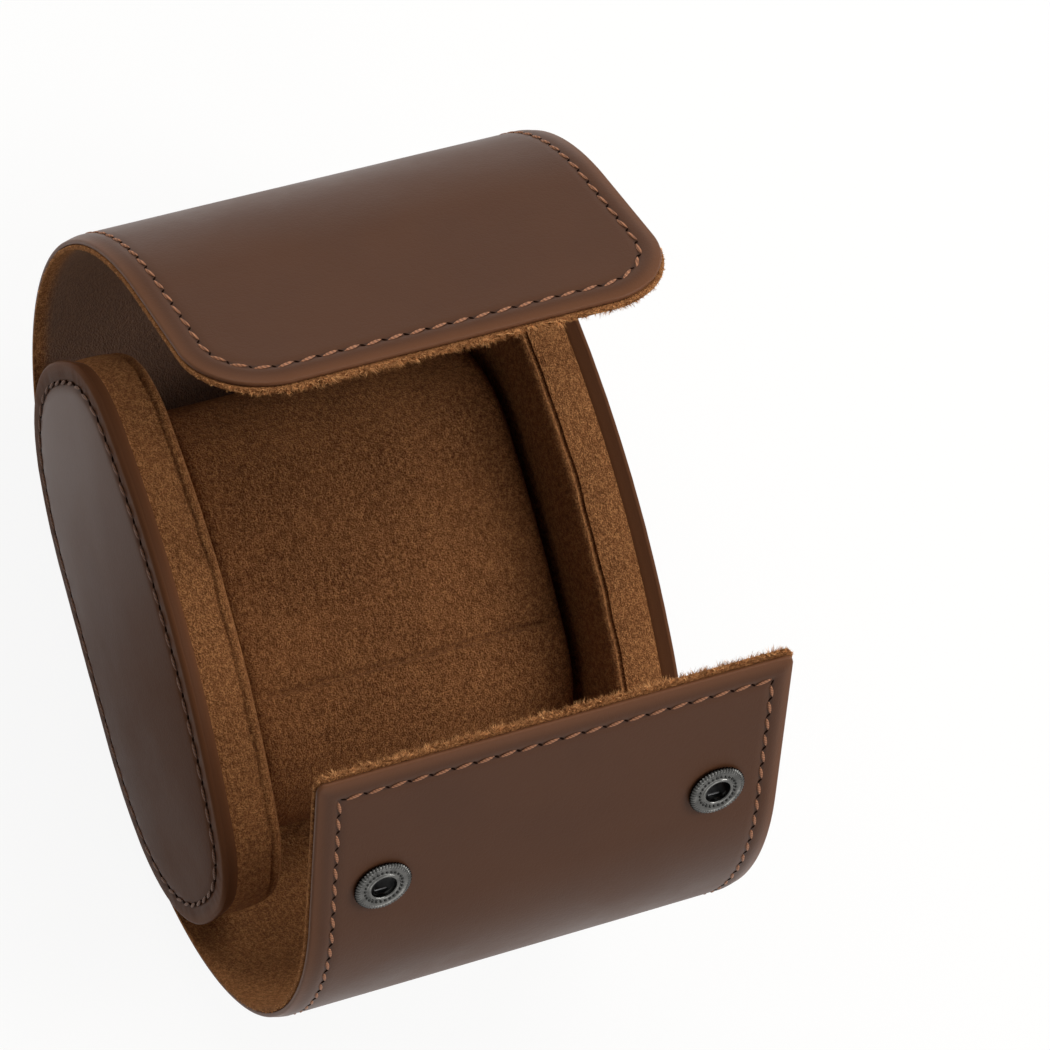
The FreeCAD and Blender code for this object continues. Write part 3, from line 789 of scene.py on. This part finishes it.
class shaderGraph:
    # the nodes of one material, or of the world

    def __init__(self, owner):
        owner.use_nodes = True
        self.owner, self.tree, self.coordinates = owner, owner.node_tree, None

    def node(self, kind, settings=None, inputs=None, output=0):
        made = self.tree.nodes.new(kind)
        for key, value in (settings or {}).items():
            setattr(made, key, value)
        for key, value in (inputs or {}).items():
            self.feed(made.inputs[key], value)
        return socketValue(self, made.outputs[output])

    def feed(self, socket, value):
        if isinstance(value, socketValue):
            self.tree.links.new(value.socket, socket)
        else:
            socket.default_value = value

    def place(self):
        if self.coordinates is None:
            self.coordinates = self.node("ShaderNodeTexCoord", output="Object")
        return self.coordinates

    def noise(self, scale, detail=3.0, roughness=0.5, stretch=None):
        place = self.place()
        if stretch:
            place = self.node("ShaderNodeMapping", {}, {"Vector": place, "Scale": stretch}, "Vector")
        inputs = {"Vector": place, "Scale": scale, "Detail": detail, "Roughness": roughness}
        return self.node("ShaderNodeTexNoise", {}, inputs, "Fac")

    def cells(self, scale, feature="F1"):
        inputs = {"Vector": self.place(), "Scale": scale}
        return self.node("ShaderNodeTexVoronoi", {"feature": feature}, inputs, "Distance")

    def attribute(self, name):
        return self.node("ShaderNodeAttribute", {"attribute_name": name}, output="Fac")

    def ramp(self, value, low, high, first=0.0, last=1.0):
        return self.node("ShaderNodeMapRange", {"interpolation_type": "SMOOTHSTEP"},
                         {"Value": value, "From Min": low, "From Max": high, "To Min": first, "To Max": last})

    def blendColour(self, share, *colours):
        # the colour sockets of this node are the seventh and eighth, its colour result the third
        ends = [end if isinstance(end, socketValue) else (*end, 1) for end in colours]
        return self.node("ShaderNodeMix", {"data_type": "RGBA"}, {0: share, 6: ends[0], 7: ends[1]}, 2)

    def bump(self, height, strength, distance):
        return self.node("ShaderNodeBump", {}, {"Height": height, "Strength": strength, "Distance": distance})

    def set(self, **values):
        names = {"colour": "Base Color", "roughness": "Roughness", "metallic": "Metallic", "normal": "Normal",
                 "coat": "Coat Weight", "coatRoughness": "Coat Roughness", "specular": "Specular IOR Level",
                 "sheen": "Sheen Weight", "sheenRoughness": "Sheen Roughness", "sheenTint": "Sheen Tint"}
        for key, value in values.items():
            if key in ("colour", "sheenTint") and not isinstance(value, socketValue):
                value = (*value, 1)
            self.feed(self.tree.nodes["Principled BSDF"].inputs[names[key]], value)
        return self.owner


def materialGraph(name):
    return shaderGraph(bpy.data.materials.new(name))


def shade(red, green, blue):
    # a colour as read off a screen, 0 to 255, turned to linear light
    share = np.array([red, green, blue]) / 255
    return tuple(np.where(share <= 0.04045, share / 12.92, ((share + 0.055) / 1.055) ** 2.4).tolist())


# colours as read off a screen
tones = {
    "leather": (74, 46, 30), "leatherDark": (46, 28, 18), "leatherPale": (82, 52, 34),
    # on the next line, the leather edge tone is the burnished edge and a painted highlight along its roll
    "leatherEdgeAndHighlight": (104, 66, 42), "suede": (158, 102, 60), "suedeDark": (74, 41, 21),
    # on the next line, the lining tone is painted shade with a painted grey sheen, for the inside of the flap
    "suedePale": (212, 154, 98), "suedeSheen": (200, 150, 100), "liningShadeAndSheen": (104, 84, 74),
    "fibre": (230, 172, 114), "fibreDark": (122, 76, 42), "waxedThread": (168, 114, 80),
    "waxedThreadDark": (92, 57, 38), "discThread": (112, 74, 50), "discThreadDark": (52, 32, 22),
    # on the next line, the stitch hole tones are painted shade in the needle holes
    "stitchHole": (28, 17, 12), "stitchHoleDark": (20, 12, 8), "gunmetal": (104, 103, 100),
    # on the next line, the spring and rivet tones are dark as painted shade of the socket's hole, where they
    # show
    "springWire": (96, 96, 96), "rivet": (34, 34, 34), "board": (168, 150, 124),
    "boardDark": (120, 104, 82),
}
finishes = {name: shade(*tone) for name, tone in tones.items()}


def leatherMaterial(name, gloss, paintedSheen=0.0):
    # smooth hide: cloudy colour, fine pores, paler rolled edges that are partly burnished and partly a
    # painted highlight, darker at the seam; a painted sheen shines towards the flap's side
    g = materialGraph(name)
    cloud = g.ramp(g.noise(28.0, 4.0, 0.55), 0.35, 0.65)
    fine = g.noise(420.0, 2.0, 0.6)
    colour = g.blendColour(cloud, finishes["leather"], finishes["leatherPale"])
    colour = g.blendColour(cloud * 0.5 + 0.25, colour, finishes["leather"])
    reach = g.attribute("edgeReach")
    # paler towards the edge: the burnished cut edge, and further in a painted highlight along the rolled edge
    colour = g.blendColour(g.ramp(reach, 0.2, 2.4, 0.6, 0.0), colour, finishes["leatherEdgeAndHighlight"])
    atSeam = g.ramp((reach - wrapSizes["stitchInset"]).maths("ABSOLUTE"), 0.1, 0.6, 0.6, 0.0)
    colour = g.blendColour(atSeam, colour, finishes["leatherDark"])
    pores = g.cells(950.0, "DISTANCE_TO_EDGE")
    grain = g.cells(520.0)
    height = fine * 0.5 + g.ramp(pores, 0.0, 0.12) * 0.35 + grain * 0.25
    rough = g.ramp(g.noise(60.0, 3.0), 0.3, 0.7, 0.34, 0.41) + fine * 0.05
    if paintedSheen:
        # painted sheen: a coat that grows towards the flap's side of the disc and stays off its rim
        away = g.node("ShaderNodeSeparateXYZ", {}, {"Vector": g.place()}, "Y")
        g.set(coat=g.ramp(away, -0.015, 0.047, 0.0, paintedSheen) * g.ramp(reach, 3.0, 6.0), coatRoughness=0.42)
    return g.set(colour=colour, roughness=rough, normal=g.bump(height, 0.18, 0.00012), specular=gloss)


def suedeMaterial(name, shaded=0.0, deeper=0.0):
    # napped hide: fine dark and light specks; a lining can take painted shade with a painted grey sheen away
    # from its edge
    g = materialGraph(name)
    patch = g.ramp(g.noise(60.0, 4.0, 0.6), 0.3, 0.7)
    clump = g.ramp(g.noise(1500.0, 3.0, 0.6, (1.0, 0.7, 0.7)), 0.3, 0.7)
    speck = g.ramp(g.noise(3600.0, 2.0, 0.6), 0.32, 0.68)
    light = clump * 0.22 + speck * 0.4 + patch * 0.2 + (0.12 - deeper)
    colour = g.blendColour(light, finishes["suedeDark"], finishes["suede"])
    colour = g.blendColour(speck * clump * (0.45 - deeper), colour, finishes["suedePale"])
    if shaded:
        # painted shade with a painted grey sheen on the flap's lining, growing away from its edge
        paintedShadeShare = g.ramp(g.attribute("edgeReach"), 0.8, 3.5, 0.0, shaded)
        colour = g.blendColour(paintedShadeShare, colour, finishes["liningShadeAndSheen"])
    height = clump * 0.7 + speck
    return g.set(colour=colour, roughness=0.96, normal=g.bump(height, 0.75, 0.00032), specular=0.1,
                 sheen=0.12, sheenRoughness=0.5, sheenTint=finishes["suedeSheen"])


def fibreMaterial():
    # each fibre has its own tone
    g = materialGraph("suedeFibre")
    colour = g.blendColour(g.attribute("shade"), finishes["fibreDark"], finishes["fibre"])
    return g.set(colour=colour, roughness=0.95, specular=0.1)


def threadMaterial(name, shine=0.3):
    # waxed twisted thread, or the painted shade of a needle hole
    g = materialGraph(name)
    inputs = {"Vector": g.place(), "Scale": 900.0, "Distortion": 1.5}
    twist = g.node("ShaderNodeTexWave", {"bands_direction": "DIAGONAL"}, inputs, "Fac")
    colour = g.blendColour(twist * 0.7 + 0.2, finishes[name + "Dark"], finishes[name])
    return g.set(colour=colour, roughness=0.6, normal=g.bump(twist, 0.3, 0.0001), specular=shine)


def metalMaterial(name, rough, ridgeShading=False):
    # plated metal, brushed and slightly spotted; with ridge shading it has a painted highlight on its ridges
    # and painted shade low down and in the grooves between teeth
    g, colour = materialGraph(name), finishes[name]
    spots = g.noise(700.0, 3.0)
    tone = g.blendColour(g.ramp(spots, 0.35, 0.7), colour, tuple(0.6 * c for c in colour))
    if ridgeShading:
        # painted highlight and painted shade, by the height of the profile
        tone = g.blendColour(g.attribute("ridgeLight"), tuple(0.16 * c for c in colour), tone)
    return g.set(colour=tone, metallic=1.0, roughness=g.ramp(spots, 0.3, 0.7, rough, rough + 0.14),
                 normal=g.bump(g.noise(1500.0, 2.0), 0.25, 0.0001))


def boardMaterial():
    # flecked board
    g = materialGraph("fibreboard")
    flecks = g.noise(500.0, 4.0, 0.7)
    colour = g.blendColour(flecks, finishes["boardDark"], finishes["board"])
    return g.set(colour=colour, roughness=0.9, normal=g.bump(flecks, 0.4, 0.0002))


leatherMade = leatherMaterial("brownLeather", 0.1)
discMade = leatherMaterial("discLeather", 0.013, 0.5)
suedeMade = suedeMaterial("tanSuede")
pillowMade = suedeMaterial("pillowSuede", deeper=0.12)
liningMade = suedeMaterial("liningSuede")
shadedMade = suedeMaterial("flapLiningShadedSuede", shaded=0.8)
threadMade = threadMaterial("waxedThread")
discThreadMade = threadMaterial("discThread")
holeMade = threadMaterial("stitchHole", 0.0)
gunmetalMade = metalMaterial("gunmetal", 0.16, ridgeShading=True)
boardMade = boardMaterial()
# the material of each hidden or plain solid goes by the first of these words in its name
# the spring and rivet metal are dark: painted shade of the socket's hole
nodeDress = (("spring", metalMaterial("springWire", 0.3)), ("rivet", metalMaterial("rivet", 0.4)),
             ("board", boardMade), ("stiffener", boardMade), ("snap", gunmetalMade),
             ("leather", leatherMade), ("", suedeMade))


def dress(pieces, material):
    # one material all over
    for piece in pieces:
        piece.data.materials.clear()
        piece.data.materials.append(material)


for piece, layer in skins:
    lined = shadedMade if "lap" in piece.name else liningMade
    dress([piece], leatherMade if layer == "leather" else lined)
for piece in threads:
    sewn = discThreadMade if "Disc" in piece.name else threadMade
    dress([piece], holeMade if "Hole" in piece.name else sewn)
dress(discs, discMade)
dress(walls, suedeMade)
dress([pillow], pillowMade)
dress(fibres, fibreMaterial())
dress(snapMetal, gunmetalMade)
for name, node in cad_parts.items():
    dress([node], next(material for word, material in nodeDress if word in name))
print("materials done")


# Stage, lamps and camera

stageSizes = {"floor": 6.0, "floorTone": (0.88, 0.85, 0.78), "seen": 1.0, "tent": 0.44, "ceiling": 0.0,
              "floorSeen": 0.9, "lampSize": 0.6}
# place, target and power of each lamp
lamps = {
    "topSoftbox": ((0.5, 0.45, 1.1), (0, 0, 0.05), 5.9),
    "rightSoftbox": ((1.0, -0.2, 0.9), (0, 0, 0.04), 10.9),
    "backSoftbox": ((-0.2, 1.0, 0.8), (0, 0, 0.04), 6.0),
    "frontSoftbox": ((0.4, -1.0, 0.8), (0, 0, 0.04), 2.1),
    "lowSoftbox": ((0.0, -1.2, 0.4), (0, 0, 0.06), 1.7),
}
# the photograph's view: where the camera is, its lens, and its right, down and forward directions
cameraSizes = {"place": (-0.302982, -0.022295, 0.955757), "lens": 195.524, "sensor": 36.0,
               "right": (0.909112, -0.264356, 0.321917), "down": (-0.240523, -0.964106, -0.112467),
               "forward": (0.340094, 0.024817, -0.940064)}


def showWhite(g, kind, plain, output, most):
    # mixes an even white in, for the camera's rays, mirrored ones and ones that pass through
    camera, glossy, passing = (g.node("ShaderNodeLightPath", output="Is " + ray + " Ray")
                               for ray in ("Camera", "Glossy", "Transmission"))
    share = camera.maths("MAXIMUM", glossy).maths("MAXIMUM", passing) * most
    white = g.node(kind, {}, {"Color": (1, 1, 1, 1), "Strength": stageSizes["seen"]})
    mixed = g.node("ShaderNodeMixShader", {}, {0: share, 1: socketValue(g, plain), 2: white})
    g.feed(g.tree.nodes[output].inputs["Surface"], mixed)


def addFloor():
    size = stageSizes["floor"]
    mesh = bpy.data.meshes.new("floor")
    corners = [(-size, -size, 0), (size, -size, 0), (size, size, 0), (-size, size, 0)]
    mesh.from_pydata(corners, [], [(0, 1, 2, 3)])
    floor = bpy.data.objects.new("floor", mesh)
    bpy.context.scene.collection.objects.link(floor)
    g = materialGraph("paleFloor")
    g.set(colour=stageSizes["floorTone"], roughness=0.9, specular=0.1)
    # the camera sees the floor almost pure white, as in the photograph, with a faint shadow
    plain = g.tree.nodes["Principled BSDF"].outputs[0]
    showWhite(g, "ShaderNodeEmission", plain, "Material Output", stageSizes["floorSeen"])
    mesh.materials.append(g.owner)


def addWorld():
    # a pale tent all round and a dark ceiling, seen as plain white
    world = bpy.data.worlds.new("studio")
    bpy.context.scene.world = world
    g = shaderGraph(world)
    height = g.node("ShaderNodeSeparateXYZ", {}, {0: g.node("ShaderNodeTexCoord", output="Generated")}, "Z")
    strength = g.node("ShaderNodeMapRange", {}, {"Value": height, "To Min": stageSizes["tent"],
                                                 "To Max": stageSizes["ceiling"]})
    ambient = g.tree.nodes["Background"]
    g.feed(ambient.inputs["Color"], (1, 1, 1, 1))
    g.feed(ambient.inputs["Strength"], strength)
    showWhite(g, "ShaderNodeBackground", ambient.outputs[0], "World Output", 1.0)


def standAt(made, place, *axes):
    # places an object whose own x, y and z point along these axes
    made.matrix_world = Matrix([[*(axis[k] for axis in axes), place[k]] for k in range(3)] + [[0, 0, 0, 1]])
    bpy.context.scene.collection.objects.link(made)


def addLamp(name, place, target, power):
    # a square softbox that faces its target
    lamp = bpy.data.lights.new(name, "AREA")
    lamp.shape, lamp.size, lamp.energy = "SQUARE", stageSizes["lampSize"], power
    made = bpy.data.objects.new(name, lamp)
    back = unit(np.array(place) - np.array(target))
    side = unit(np.cross([0.0, 0.0, 1.0], back))
    standAt(made, place, side, np.cross(back, side), back)


def addCamera():
    right, down, forward = (np.array(cameraSizes[key]) for key in ("right", "down", "forward"))
    camera = bpy.data.cameras.new("camera")
    camera.sensor_width, camera.lens = cameraSizes["sensor"], cameraSizes["lens"]
    camera.clip_start, camera.clip_end = 0.01, 100.0
    made = bpy.data.objects.new("camera", camera)
    standAt(made, cameraSizes["place"], right, -down, -forward)
    bpy.context.scene.camera = made


addFloor()
addWorld()
for name, (place, target, power) in lamps.items():
    addLamp(name, place, target, power)
addCamera()
bpy.context.scene.view_settings.view_transform = "Standard"
print("stage done")
